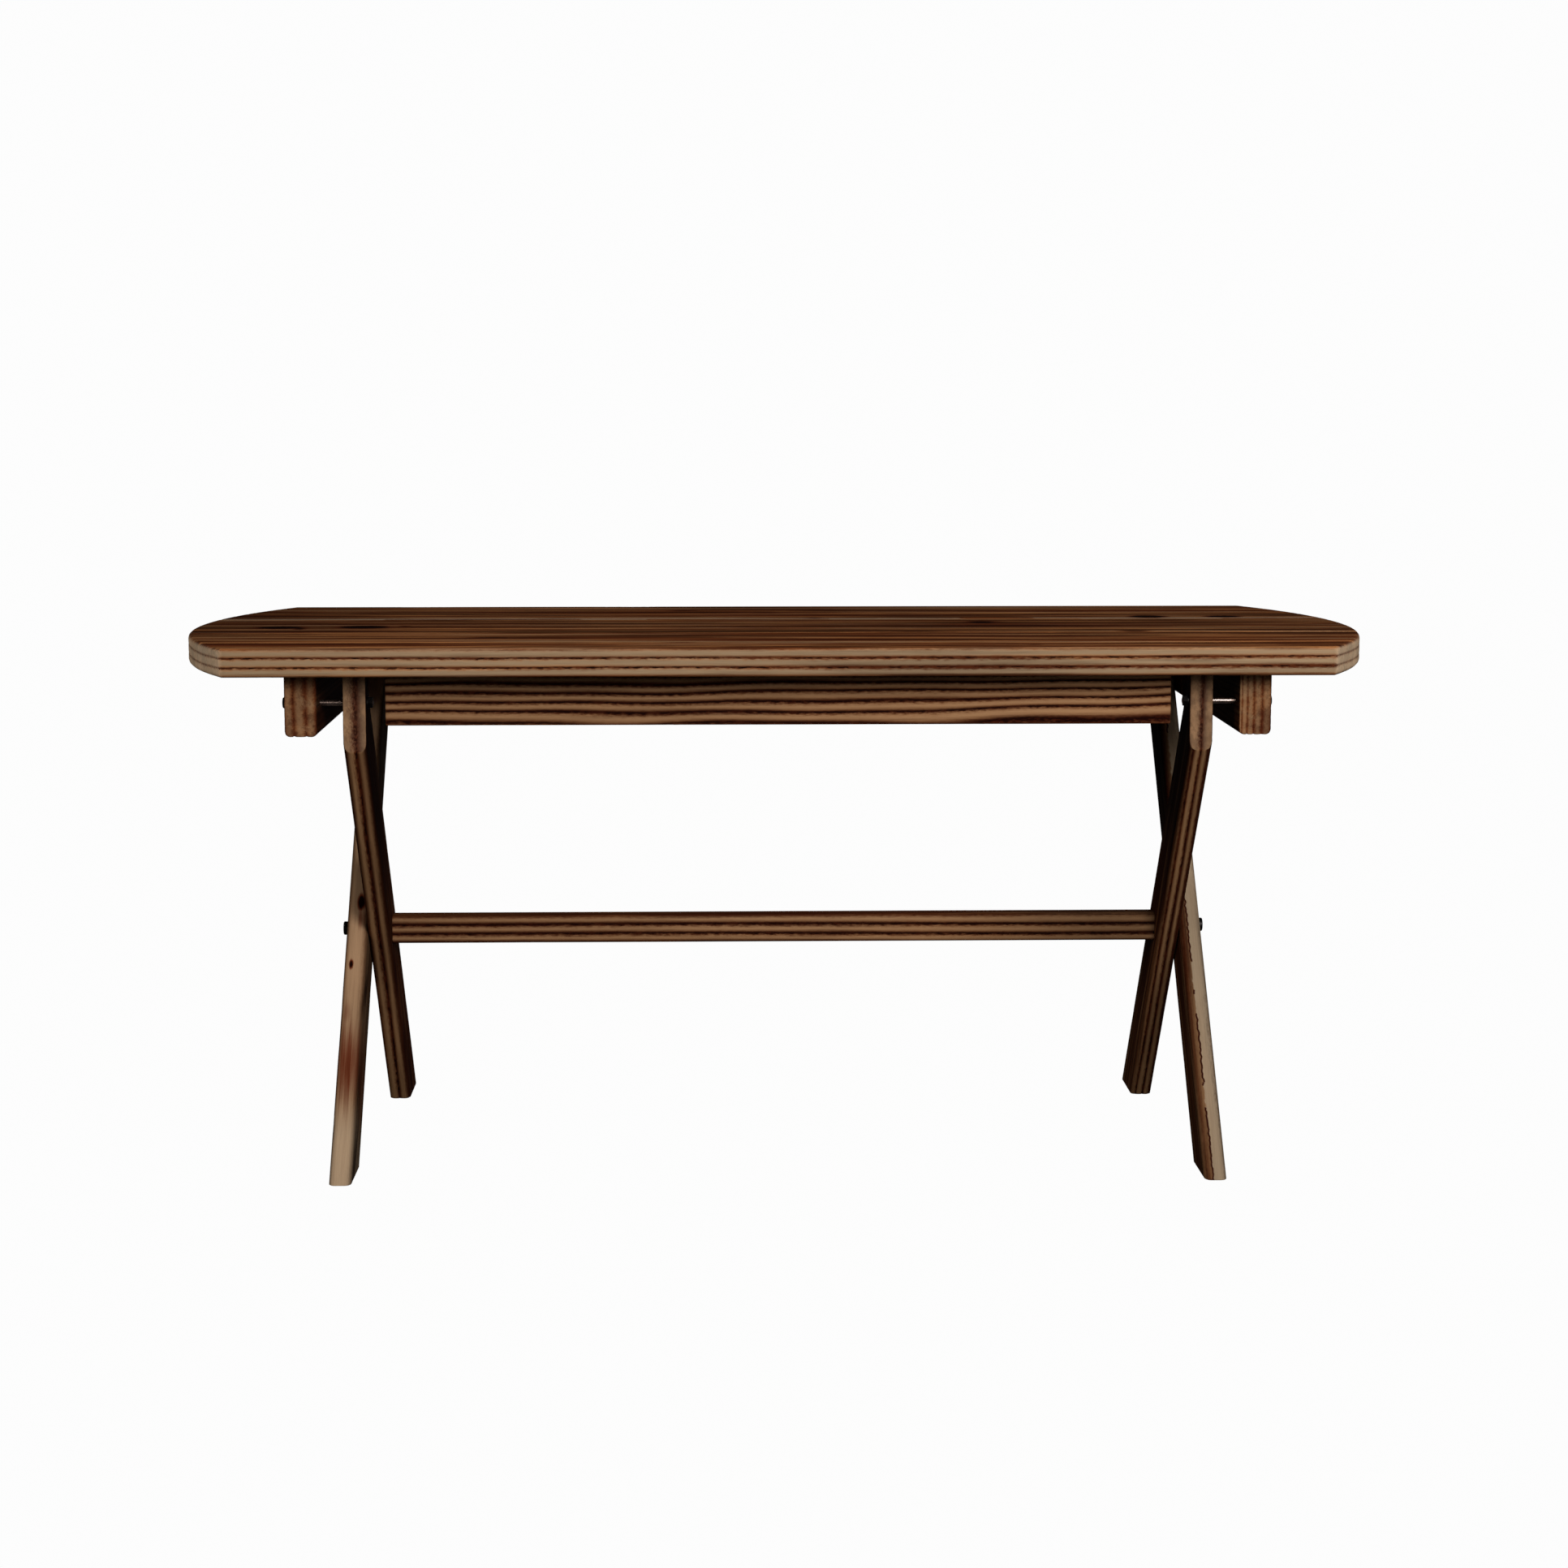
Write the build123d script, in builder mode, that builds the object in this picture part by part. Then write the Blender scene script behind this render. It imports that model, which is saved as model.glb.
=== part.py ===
"""Folding picnic table: a three-board top on crossed legs that fold flat under it.

Millimetres, +Z up, X along the table, -Y the front.  The origin is on the floor,
under the middle of the top.  The table stands open, ready for use.
"""
from math import atan2, cos, degrees, hypot, radians, sin, sqrt
import os

from build123d import *

# ---- driving dimensions -------------------------------------------------------------
TABLE_LENGTH = 1609.0
TABLE_WIDTH = 745.0
TABLE_HEIGHT = 720.0
STRAIGHT_EDGE = 1430.0          # length of the two long edges, before the curved ends
TOP_THICKNESS = 37.0
PLANK_COUNT = 3
PLANK_ROUND = 5.0               # rounding of every plank edge

BATTEN_WIDTH = 42.0
BATTEN_DEPTH = 82.0
BATTEN_LENGTH = 640.0
BATTEN_ROUND = 7.0
BATTEN_INNER_X = 599.0

RAIL_LENGTH = 1026.0
RAIL_DEPTH = 70.0
RAIL_THICKNESS = 22.0
RAIL_ROUND = 3.0

LEG_THICKNESS = 30.0
LEG_WIDTH = 82.0
LEG_ROUND = 8.0
LEG_LEAN = 40.5                 # degrees from upright
LEG_END_Y = 298.0               # where a leg's top end is cut off upright
SIDE_GAP = 0.4                  # between neighbouring wooden faces that turn
TOP_GAP = 1.2                   # clears a leg's top end as it turns under the boards

CROSSING_Z = 293.0              # the legs' crossing, midway from front to rear
PIVOT_Y = 282.0                 # front pivot and rear bearing point, each side of the middle
PIVOT_DROP = 41.0               # from the underside down to the pivot axis

STRETCHER_HEIGHT = 40.0
STRETCHER_THICKNESS = 32.0
STRETCHER_ROUND = 6.0

BOLT_DIAMETER = 8.0
BOLT_HOLE = 8.1
WASHER_THICKNESS = 1.6
WASHER_DIAMETER = 16.0
NUT_ACROSS_FLATS = 13.0
NUT_HEIGHT = 5.5
PIVOT_HEAD_DIAMETER = 15.0
PIVOT_HEAD_HEIGHT = 6.8
PIVOT_HEAD_ROUND = 2.5          # rounding of the head's outer rim
CROSSING_HEAD_DIAMETER = 19.0
CROSSING_HEAD_HEIGHT = 8.8
CROSSING_HEAD_ROUND = 1.5
SOCKET_ACROSS_FLATS = 5.0
SOCKET_DEPTH = 4.0
RELIEF_DEPTH = 10.0             # cut into a batten for the crossing bolt's head
RELIEF_MARGIN = 3.0             # left all round that head
BARREL_NUT_DIAMETER = 12.0
BARREL_NUT_LENGTH = 22.0
BARREL_NUT_INSET = 34.0         # from the stretcher's end to the barrel nut's axis
PIVOT_PLAY = 0.3                # between a leg and the washer or bolt head beside it

DOWEL_DIAMETER = 8.0
DOWEL_CLEARANCE = 0.05          # left round a glued dowel, on the radius
SEAM_DOWEL_LENGTH = 50.0
SEAM_DOWEL_PITCH = 240.0
SEAM_DOWELS = 5
STRETCHER_DOWEL_LENGTH = 36.0
STRETCHER_DOWEL_OFFSET = 12.5   # above and below the crossing bolt

SCREW_DIAMETER = 5.0
SCREW_LENGTH = 60.0
SCREW_HEAD_DIAMETER = 10.0
SCREW_HEAD_HEIGHT = 3.2
SCREW_BORE_DIAMETER = 11.0
SCREW_TIP_COVER = 11.0          # wood left above a screw's tip
SCREW_TIP_LENGTH = 6.0
BATTEN_SCREW_OFFSET = 55.0      # each side of a board's middle line
RAIL_SCREW_PITCH = 300.0
RAIL_SCREWS = 4

# ---- worked out from the driving dimensions ------------------------------------------
UNDERSIDE_Z = TABLE_HEIGHT - TOP_THICKNESS
BATTEN_OUTER_X = BATTEN_INNER_X + BATTEN_WIDTH
OUTER_LEG_X = (BATTEN_INNER_X - SIDE_GAP - LEG_THICKNESS, BATTEN_INNER_X - SIDE_GAP)
INNER_LEG_X = (OUTER_LEG_X[0] - SIDE_GAP - LEG_THICKNESS, OUTER_LEG_X[0] - SIDE_GAP)
PLANK_WIDTH = TABLE_WIDTH / PLANK_COUNT
BATTEN_X = (BATTEN_INNER_X + BATTEN_OUTER_X) / 2
RAIL_Y = -LEG_END_Y + RAIL_THICKNESS / 2
PIVOT_Z = UNDERSIDE_Z - PIVOT_DROP
FOLD_ANGLE = 90.0 - LEG_LEAN    # turns the legs until they lie level

SCREW_HOLE = SCREW_DIAMETER + 0.1
SCREW_TIP_Z = TABLE_HEIGHT - SCREW_TIP_COVER
SCREW_SEAT_Z = SCREW_TIP_Z - SCREW_LENGTH + SCREW_HEAD_HEIGHT

# The ends are arcs through the two corners and the middle of each end.
END_BULGE = (TABLE_LENGTH - STRAIGHT_EDGE) / 2
END_RADIUS = ((TABLE_WIDTH / 2) ** 2 + END_BULGE**2) / (2 * END_BULGE)
END_CENTRE_X = TABLE_LENGTH / 2 - END_RADIUS

# The crossing swings about the front pivot on this arm.
SWING_RADIUS = hypot(PIVOT_Y, PIVOT_Z - CROSSING_Z)
SWING_START = degrees(atan2(PIVOT_Z - CROSSING_Z, PIVOT_Y))
FOLDED_DROP = SWING_RADIUS * sin(radians(SWING_START - FOLD_ANGLE))
FOLDED_Y = -PIVOT_Y + SWING_RADIUS * cos(radians(SWING_START - FOLD_ANGLE))

SIDES = (("left", -1), ("right", 1))


def end_x(y):
    """Half the table's length at distance y from the middle line."""
    return END_CENTRE_X + sqrt(END_RADIUS**2 - y**2)


def across(side, x):
    """Plane at distance x on one side, drawn in (Y, Z), extruding away from the middle."""
    return Plane(origin=(side * x, 0, 0), x_dir=(0, 1, 0) if side > 0 else (0, -1, 0), z_dir=(side, 0, 0))


def at(side, y, z):
    """Local place on an `across` plane: a point at y, z whichever way the plane faces."""
    return (side * y, z)


def save(piece, name):
    piece.part.label = name
    export_step(piece.part, f"parts/{name}.step")


# ---- the top -------------------------------------------------------------------------
def batten_screw_places(side):
    """Plan positions of one batten's screws: two under every board."""
    offsets = (-BATTEN_SCREW_OFFSET, BATTEN_SCREW_OFFSET)
    return [(side * BATTEN_X, board * PLANK_WIDTH + offset) for board in (-1, 0, 1) for offset in offsets]


def rail_screw_places():
    """Plan positions of the rail's screws, in one row."""
    return [(RAIL_SCREW_PITCH * (i - (RAIL_SCREWS - 1) / 2), RAIL_Y) for i in range(RAIL_SCREWS)]


def seam_plane(seam_y, facing):
    """Upright plane at a seam, at half the boards' thickness, drawn along the table."""
    return Plane(origin=(0, seam_y, UNDERSIDE_Z + TOP_THICKNESS / 2), x_dir=(1, 0, 0), z_dir=(0, facing, 0))


def seam_dowel_places():
    """Places of one seam's dowels on its seam plane."""
    return [(SEAM_DOWEL_PITCH * (i - (SEAM_DOWELS - 1) / 2), 0) for i in range(SEAM_DOWELS)]


def plank(index):
    """One board; index -1 is the front one, 1 the rear one."""
    near, far = (index - 0.5) * PLANK_WIDTH, (index + 0.5) * PLANK_WIDTH
    middle = (near + far) / 2
    with BuildPart() as board:
        with BuildSketch(Plane.XY.offset(UNDERSIDE_Z)):
            with BuildLine():
                Line((-end_x(near), near), (end_x(near), near))
                ThreePointArc((end_x(near), near), (end_x(middle), middle), (end_x(far), far))
                Line((end_x(far), far), (-end_x(far), far))
                ThreePointArc((-end_x(far), far), (-end_x(middle), middle), (-end_x(near), near))
            make_face()
        extrude(amount=TOP_THICKNESS)
        fillet(board.edges(), radius=PLANK_ROUND)
        # Holes for the dowels in each edge that meets another board.
        for edge_y, inward in ((near, 1), (far, -1)):
            if abs(edge_y) < TABLE_WIDTH / 2 - 1:
                with BuildSketch(seam_plane(edge_y, inward)):
                    with Locations(*seam_dowel_places()):
                        Circle(DOWEL_DIAMETER / 2 + DOWEL_CLEARANCE)
                extrude(amount=SEAM_DOWEL_LENGTH / 2 + 1, mode=Mode.SUBTRACT)
        # Threaded ends of the screws that come up from the battens and the rail.
        places = batten_screw_places(-1) + batten_screw_places(1) + rail_screw_places()
        with BuildSketch(Plane.XY.offset(UNDERSIDE_Z)):
            with Locations(*[(x, y) for x, y in places if near < y < far]):
                Circle(SCREW_HOLE / 2)
        extrude(amount=SCREW_TIP_Z - UNDERSIDE_Z + 0.5, mode=Mode.SUBTRACT)
    return board


def seam_dowels(seam_y):
    with BuildPart() as dowels:
        with BuildSketch(seam_plane(seam_y, 1)):
            with Locations(*seam_dowel_places()):
                Circle(DOWEL_DIAMETER / 2)
        extrude(amount=SEAM_DOWEL_LENGTH / 2, both=True)
    return dowels


# ---- under the top: battens, rail and their screws -----------------------------------
def batten(side):
    """Front-to-rear batten with the pivot hole, screw bores and a relief for the crossing bolt."""
    with BuildPart() as bar:
        with BuildSketch(Plane.XZ.offset(-BATTEN_LENGTH / 2)) as section:
            with Locations((side * BATTEN_X, UNDERSIDE_Z - BATTEN_DEPTH / 2)):
                Rectangle(BATTEN_WIDTH, BATTEN_DEPTH)
            fillet(section.vertices().group_by(Axis.Z)[0], radius=BATTEN_ROUND)
        extrude(amount=BATTEN_LENGTH)
        with BuildSketch(across(side, BATTEN_INNER_X)):
            with Locations(at(side, -PIVOT_Y, PIVOT_Z)):
                Circle(BOLT_HOLE / 2)
        extrude(amount=BATTEN_WIDTH, mode=Mode.SUBTRACT)
        # The head of the crossing bolt rises into this slot as the legs fold flat.
        slot_width = CROSSING_HEAD_DIAMETER + 2 * RELIEF_MARGIN
        slot_top = PIVOT_Z - FOLDED_DROP
        slot_foot = UNDERSIDE_Z - BATTEN_DEPTH - 1
        with BuildSketch(across(side, BATTEN_INNER_X)):
            with Locations(at(side, FOLDED_Y, slot_top)):
                Circle(slot_width / 2)
            with Locations(at(side, FOLDED_Y, (slot_top + slot_foot) / 2)):
                Rectangle(slot_width, slot_top - slot_foot)
        extrude(amount=RELIEF_DEPTH, mode=Mode.SUBTRACT)
        with BuildSketch(Plane.XY.offset(UNDERSIDE_Z - BATTEN_DEPTH)):
            with Locations(*batten_screw_places(side)):
                Circle(SCREW_BORE_DIAMETER / 2)
        extrude(amount=SCREW_SEAT_Z - (UNDERSIDE_Z - BATTEN_DEPTH), mode=Mode.SUBTRACT)
        with BuildSketch(Plane.XY.offset(SCREW_SEAT_Z)):
            with Locations(*batten_screw_places(side)):
                Circle(SCREW_HOLE / 2)
        extrude(amount=UNDERSIDE_Z - SCREW_SEAT_Z, mode=Mode.SUBTRACT)
    return bar


def rail():
    """Long rail under the front board, between the inner legs."""
    with BuildPart() as bar:
        with BuildSketch(Plane.YZ.offset(-RAIL_LENGTH / 2)) as section:
            with Locations((RAIL_Y, UNDERSIDE_Z - RAIL_DEPTH / 2)):
                Rectangle(RAIL_THICKNESS, RAIL_DEPTH)
            fillet(section.vertices().group_by(Axis.Z)[0], radius=RAIL_ROUND)
        extrude(amount=RAIL_LENGTH)
        with BuildSketch(Plane.XY.offset(UNDERSIDE_Z - RAIL_DEPTH)):
            with Locations(*rail_screw_places()):
                Circle(SCREW_BORE_DIAMETER / 2)
        extrude(amount=SCREW_SEAT_Z - (UNDERSIDE_Z - RAIL_DEPTH), mode=Mode.SUBTRACT)
        with BuildSketch(Plane.XY.offset(SCREW_SEAT_Z)):
            with Locations(*rail_screw_places()):
                Circle(SCREW_HOLE / 2)
        extrude(amount=UNDERSIDE_Z - SCREW_SEAT_Z, mode=Mode.SUBTRACT)
    return bar


def wood_screws(places):
    """Pan-head wood screws, driven upwards: head, shank and pointed tip."""
    radius = SCREW_DIAMETER / 2
    head_foot = SCREW_SEAT_Z - SCREW_HEAD_HEIGHT
    with BuildPart() as screws:
        with BuildSketch(Plane.XZ) as section:
            with BuildLine():
                Polyline(
                    (0, head_foot), (SCREW_HEAD_DIAMETER / 2 - 1, head_foot),
                    (SCREW_HEAD_DIAMETER / 2, head_foot + 1), (SCREW_HEAD_DIAMETER / 2, SCREW_SEAT_Z),
                    (radius, SCREW_SEAT_Z), (radius, SCREW_TIP_Z - SCREW_TIP_LENGTH), (0, SCREW_TIP_Z),
                    close=True,
                )
            make_face()
        one = revolve(axis=Axis.Z, mode=Mode.PRIVATE)
        with Locations(*places):
            add(one)
    return screws


# ---- legs and stretcher --------------------------------------------------------------
def leg(side, span, top_end):
    """Leg in the X range `span`; top_end is -1 if it leans to the front, 1 to the rear."""
    lean = radians(LEG_LEAN)
    axis = (0, top_end * sin(lean), cos(lean))
    middle_x = side * sum(span) / 2
    reach = TABLE_HEIGHT / cos(lean)
    with BuildPart() as bar:
        with BuildSketch(Plane(origin=(middle_x, 0, CROSSING_Z), x_dir=(1, 0, 0), z_dir=axis)):
            RectangleRounded(LEG_THICKNESS, LEG_WIDTH, LEG_ROUND)
        extrude(amount=reach, both=True)
        split(bisect_by=Plane.XY, keep=Keep.TOP)
        split(bisect_by=Plane.XY.offset(UNDERSIDE_Z - TOP_GAP), keep=Keep.BOTTOM)
        # The top end is cut off upright, flush with the end of the level cut.
        with BuildSketch(Plane.XY.offset(CROSSING_Z)):
            with Locations((middle_x, top_end * (LEG_END_Y + LEG_WIDTH))):
                Rectangle(2 * LEG_THICKNESS, 2 * LEG_WIDTH)
        extrude(amount=TABLE_HEIGHT, mode=Mode.SUBTRACT)
        with BuildSketch(across(side, span[0] - 1)):
            with Locations(at(side, 0, CROSSING_Z)):
                Circle(BOLT_HOLE / 2)
            if top_end < 0:
                with Locations(at(side, -PIVOT_Y, PIVOT_Z)):
                    Circle(BOLT_HOLE / 2)
        extrude(amount=LEG_THICKNESS + 2, mode=Mode.SUBTRACT)
        if top_end < 0:
            with BuildSketch(across(side, span[0])):
                with Locations(*[at(side, y, z) for y, z in stretcher_dowel_places()]):
                    Circle(DOWEL_DIAMETER / 2 + DOWEL_CLEARANCE)
            extrude(amount=STRETCHER_DOWEL_LENGTH / 2 + 1, mode=Mode.SUBTRACT)
    return bar


def stretcher_dowel_places():
    """Two dowels, above and below the bolt, stop the stretcher turning."""
    return [(0, CROSSING_Z - STRETCHER_DOWEL_OFFSET), (0, CROSSING_Z + STRETCHER_DOWEL_OFFSET)]


def stretcher():
    half = INNER_LEG_X[0]
    with BuildPart() as bar:
        with BuildSketch(Plane.YZ.offset(-half)):
            with Locations((0, CROSSING_Z)):
                RectangleRounded(STRETCHER_THICKNESS, STRETCHER_HEIGHT, STRETCHER_ROUND)
        extrude(amount=2 * half)
        for _, side in SIDES:
            inward = across(side, half)
            with BuildSketch(inward):
                with Locations(at(side, 0, CROSSING_Z)):
                    Circle(BOLT_HOLE / 2)
            extrude(amount=-(BARREL_NUT_INSET + 12), mode=Mode.SUBTRACT)
            with BuildSketch(inward):
                with Locations(*[at(side, y, z) for y, z in stretcher_dowel_places()]):
                    Circle(DOWEL_DIAMETER / 2 + DOWEL_CLEARANCE)
            extrude(amount=-(STRETCHER_DOWEL_LENGTH / 2 + 1), mode=Mode.SUBTRACT)
            # The barrel nut goes in from the rear face.
            nut_x = side * (half - BARREL_NUT_INSET)
            with BuildSketch(Plane(origin=(nut_x, STRETCHER_THICKNESS / 2, CROSSING_Z), z_dir=(0, -1, 0))):
                Circle(BARREL_NUT_DIAMETER / 2 + DOWEL_CLEARANCE)
            extrude(amount=(STRETCHER_THICKNESS + BARREL_NUT_LENGTH) / 2 + 1, mode=Mode.SUBTRACT)
    return bar


def stretcher_dowels(side):
    with BuildPart() as dowels:
        with BuildSketch(across(side, INNER_LEG_X[0])):
            with Locations(*[at(side, y, z) for y, z in stretcher_dowel_places()]):
                Circle(DOWEL_DIAMETER / 2)
        extrude(amount=STRETCHER_DOWEL_LENGTH / 2, both=True)
    return dowels


# ---- bolts, washers and nuts ---------------------------------------------------------
def cap_bolt(side, seat, head_diameter, head_height, head_round, length):
    """Bolt with a flat-faced head that rests on the plane `seat` and points in to the middle."""
    with BuildPart() as bolt:
        with BuildSketch(seat):
            Circle(head_diameter / 2)
        extrude(amount=head_height)
        crown = bolt.edges().filter_by(GeomType.CIRCLE).sort_by(Axis((0, 0, 0), (side, 0, 0)))[-1]
        fillet(crown, radius=head_round)
        with BuildSketch(seat):
            Circle(BOLT_DIAMETER / 2)
        extrude(amount=-length)
        tip = bolt.edges().filter_by(GeomType.CIRCLE).sort_by(Axis((0, 0, 0), (side, 0, 0)))[0]
        chamfer(tip, length=1.0)
        with BuildSketch(seat.offset(head_height)):
            RegularPolygon(SOCKET_ACROSS_FLATS / 2, 6, major_radius=False)
        extrude(amount=-SOCKET_DEPTH, mode=Mode.SUBTRACT)
    return bolt


def pivot_bolt(side):
    """Fixed in the batten; the inner leg swings on its plain end."""
    nut_end = INNER_LEG_X[0] - PIVOT_PLAY - WASHER_THICKNESS - NUT_HEIGHT
    seat = Plane(origin=(side * BATTEN_OUTER_X, -PIVOT_Y, PIVOT_Z), z_dir=(side, 0, 0))
    length = BATTEN_OUTER_X - nut_end + 1.0
    return cap_bolt(side, seat, PIVOT_HEAD_DIAMETER, PIVOT_HEAD_HEIGHT, PIVOT_HEAD_ROUND, length)


def crossing_bolt(side):
    """Runs through both legs into the stretcher's barrel nut."""
    seat_x = OUTER_LEG_X[1] + PIVOT_PLAY
    reach = seat_x - (INNER_LEG_X[0] - BARREL_NUT_INSET - BARREL_NUT_DIAMETER / 2 - 2)
    seat = Plane(origin=(side * seat_x, 0, CROSSING_Z), z_dir=(side, 0, 0))
    return cap_bolt(side, seat, CROSSING_HEAD_DIAMETER, CROSSING_HEAD_HEIGHT, CROSSING_HEAD_ROUND, reach)


def pivot_washer(side):
    with BuildPart() as washer:
        with BuildSketch(across(side, INNER_LEG_X[0] - PIVOT_PLAY - WASHER_THICKNESS)):
            with Locations(at(side, -PIVOT_Y, PIVOT_Z)):
                Circle(WASHER_DIAMETER / 2)
                Circle(BOLT_HOLE / 2, mode=Mode.SUBTRACT)
        extrude(amount=WASHER_THICKNESS)
    return washer


def pivot_nut(side):
    with BuildPart() as nut:
        with BuildSketch(across(side, INNER_LEG_X[0] - PIVOT_PLAY - WASHER_THICKNESS - NUT_HEIGHT)):
            with Locations(at(side, -PIVOT_Y, PIVOT_Z)):
                RegularPolygon(NUT_ACROSS_FLATS / 2, 6, major_radius=False)
                Circle(BOLT_HOLE / 2, mode=Mode.SUBTRACT)
        extrude(amount=NUT_HEIGHT)
    return nut


def barrel_nut(side):
    nut_x = side * (INNER_LEG_X[0] - BARREL_NUT_INSET)
    with BuildPart() as nut:
        with BuildSketch(Plane(origin=(nut_x, 0, CROSSING_Z), z_dir=(0, 1, 0))):
            Circle(BARREL_NUT_DIAMETER / 2)
        extrude(amount=BARREL_NUT_LENGTH / 2, both=True)
        with BuildSketch(Plane(origin=(nut_x, 0, CROSSING_Z), z_dir=(1, 0, 0))):
            Circle(BOLT_HOLE / 2)
        extrude(amount=BARREL_NUT_DIAMETER, both=True, mode=Mode.SUBTRACT)
    return nut


# ---- build ---------------------------------------------------------------------------
os.makedirs("parts", exist_ok=True)

for index, place in ((-1, "front"), (0, "middle"), (1, "rear")):
    save(plank(index), f"plank_{place}")
save(seam_dowels(-PLANK_WIDTH / 2), "seam_dowels_front")
save(seam_dowels(PLANK_WIDTH / 2), "seam_dowels_rear")
save(rail(), "front_rail")
save(wood_screws(rail_screw_places()), "rail_screws")
save(stretcher(), "stretcher")

for name, side in SIDES:
    save(batten(side), f"batten_{name}")
    save(wood_screws(batten_screw_places(side)), f"batten_screws_{name}")
    save(leg(side, INNER_LEG_X, -1), f"inner_leg_{name}")
    save(leg(side, OUTER_LEG_X, 1), f"outer_leg_{name}")
    save(stretcher_dowels(side), f"stretcher_dowels_{name}")
    save(pivot_bolt(side), f"pivot_bolt_{name}")
    save(pivot_washer(side), f"pivot_washer_{name}")
    save(pivot_nut(side), f"pivot_nut_{name}")
    save(crossing_bolt(side), f"crossing_bolt_{name}")
    save(barrel_nut(side), f"barrel_nut_{name}")

print(f"folded crossing: y {FOLDED_Y:.1f}, z {PIVOT_Z - FOLDED_DROP:.1f}, at {FOLD_ANGLE:.1f} degrees")
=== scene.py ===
"""Looks of the folding picnic table: brushed, dark-stained softwood with its growth rings
standing proud, on dark bolts.  Metres, +Z up, X along the table, -Y the front.

Each wooden piece is rebuilt as one closed, finely divided mesh on its CAD node's own box,
with the grain cut into the surface.  Grain is only ever cut inwards, so sizes don't change.
"""
import math

import bpy
import numpy as np
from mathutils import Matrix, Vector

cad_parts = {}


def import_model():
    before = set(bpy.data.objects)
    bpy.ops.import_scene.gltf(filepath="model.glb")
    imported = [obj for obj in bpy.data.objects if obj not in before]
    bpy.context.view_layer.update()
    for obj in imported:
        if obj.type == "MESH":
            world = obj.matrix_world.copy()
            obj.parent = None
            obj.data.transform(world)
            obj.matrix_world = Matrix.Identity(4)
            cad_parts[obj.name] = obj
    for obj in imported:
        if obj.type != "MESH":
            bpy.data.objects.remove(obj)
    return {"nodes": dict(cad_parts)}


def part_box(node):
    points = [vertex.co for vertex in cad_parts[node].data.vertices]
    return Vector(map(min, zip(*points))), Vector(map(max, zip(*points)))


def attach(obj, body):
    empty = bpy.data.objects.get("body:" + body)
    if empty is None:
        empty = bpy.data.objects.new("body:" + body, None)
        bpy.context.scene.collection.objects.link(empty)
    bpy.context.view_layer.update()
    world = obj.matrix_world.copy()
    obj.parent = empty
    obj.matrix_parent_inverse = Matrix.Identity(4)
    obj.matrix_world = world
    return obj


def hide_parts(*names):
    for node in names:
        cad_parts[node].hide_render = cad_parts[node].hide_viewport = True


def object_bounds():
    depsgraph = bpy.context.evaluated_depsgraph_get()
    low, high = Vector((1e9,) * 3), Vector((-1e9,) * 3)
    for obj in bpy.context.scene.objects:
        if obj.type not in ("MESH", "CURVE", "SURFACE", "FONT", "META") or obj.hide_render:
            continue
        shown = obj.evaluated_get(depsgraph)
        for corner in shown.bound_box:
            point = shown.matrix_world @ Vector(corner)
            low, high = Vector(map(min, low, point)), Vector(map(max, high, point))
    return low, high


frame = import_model()
cad_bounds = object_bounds()

MM = 0.001
LEG_LEAN = math.radians(40.5)
LEG_ROUND = 8 * MM
LEG_WIDTH = 82 * MM
CROSSING_Z = 293 * MM
LEG_END_Y = 298 * MM
LEG_BAR_LENGTH = 0.93           # a leg's bar before its ends are carried to floor and top
TOP_CORNER_X = 715 * MM         # where the long edges end and the curved ends begin
BOARD_WIDTH = 745 * MM / 3
BOARD_ROUND = 5 * MM
BATTEN_FOOT_ROUND = 7 * MM
RAIL_FOOT_ROUND = 3 * MM
STRETCHER_ROUND = 6 * MM
BATTEN_SCREW_OFFSET = 55 * MM
RAIL_SCREW_PLACES = [300 * MM * step for step in (-1.5, -0.5, 0.5, 1.5)]
SCREW_SEAT_Z = 652.2 * MM
SCREW_BORE_RADIUS = 5.5 * MM
RELIEF_Y = 166.5 * MM           # where a crossing bolt's head lies when the legs are folded
RELIEF_Z = 629.8 * MM
RELIEF_RADIUS = 12.5 * MM
RELIEF_DEPTH = 10 * MM
CUT_MARGIN = 10 * MM            # how far a cutter starts outside the piece
PIVOT_HEAD_X = 0.6405           # the pivot bolts' heads lie further out than this

# Spacing of the growth rings on the boards' edges and top, and on each frame piece's faces.
BOARD_EDGE_RINGS = 12.3 * MM
BOARD_TOP_RINGS = 27 * MM
BATTEN_SIDE_RINGS = 9 * MM
RAIL_RINGS = 5.5                # how many stand one above another on the rail's face
RAIL_SIDE_RINGS = 8 * MM
STRETCHER_RINGS = 13.3 * MM
STRETCHER_SIDE_RINGS = 9 * MM


# ---- surface grids ---------------------------------------------------------------------
def spaced(low, high, step, edge, edge_steps=4):
    """Grid lines from low to high, closer together in the `edge` next to each end."""
    turns = np.linspace(0, math.pi / 2, edge_steps + 1)
    near = edge * (1 - np.cos(turns))
    count = max(2, int(round((high - low - 2 * edge) / step)))
    middle = np.linspace(low + edge, high - edge, count + 1)
    return np.unique(np.round(np.concatenate([low + near, middle, high - near]), 7))


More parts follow.
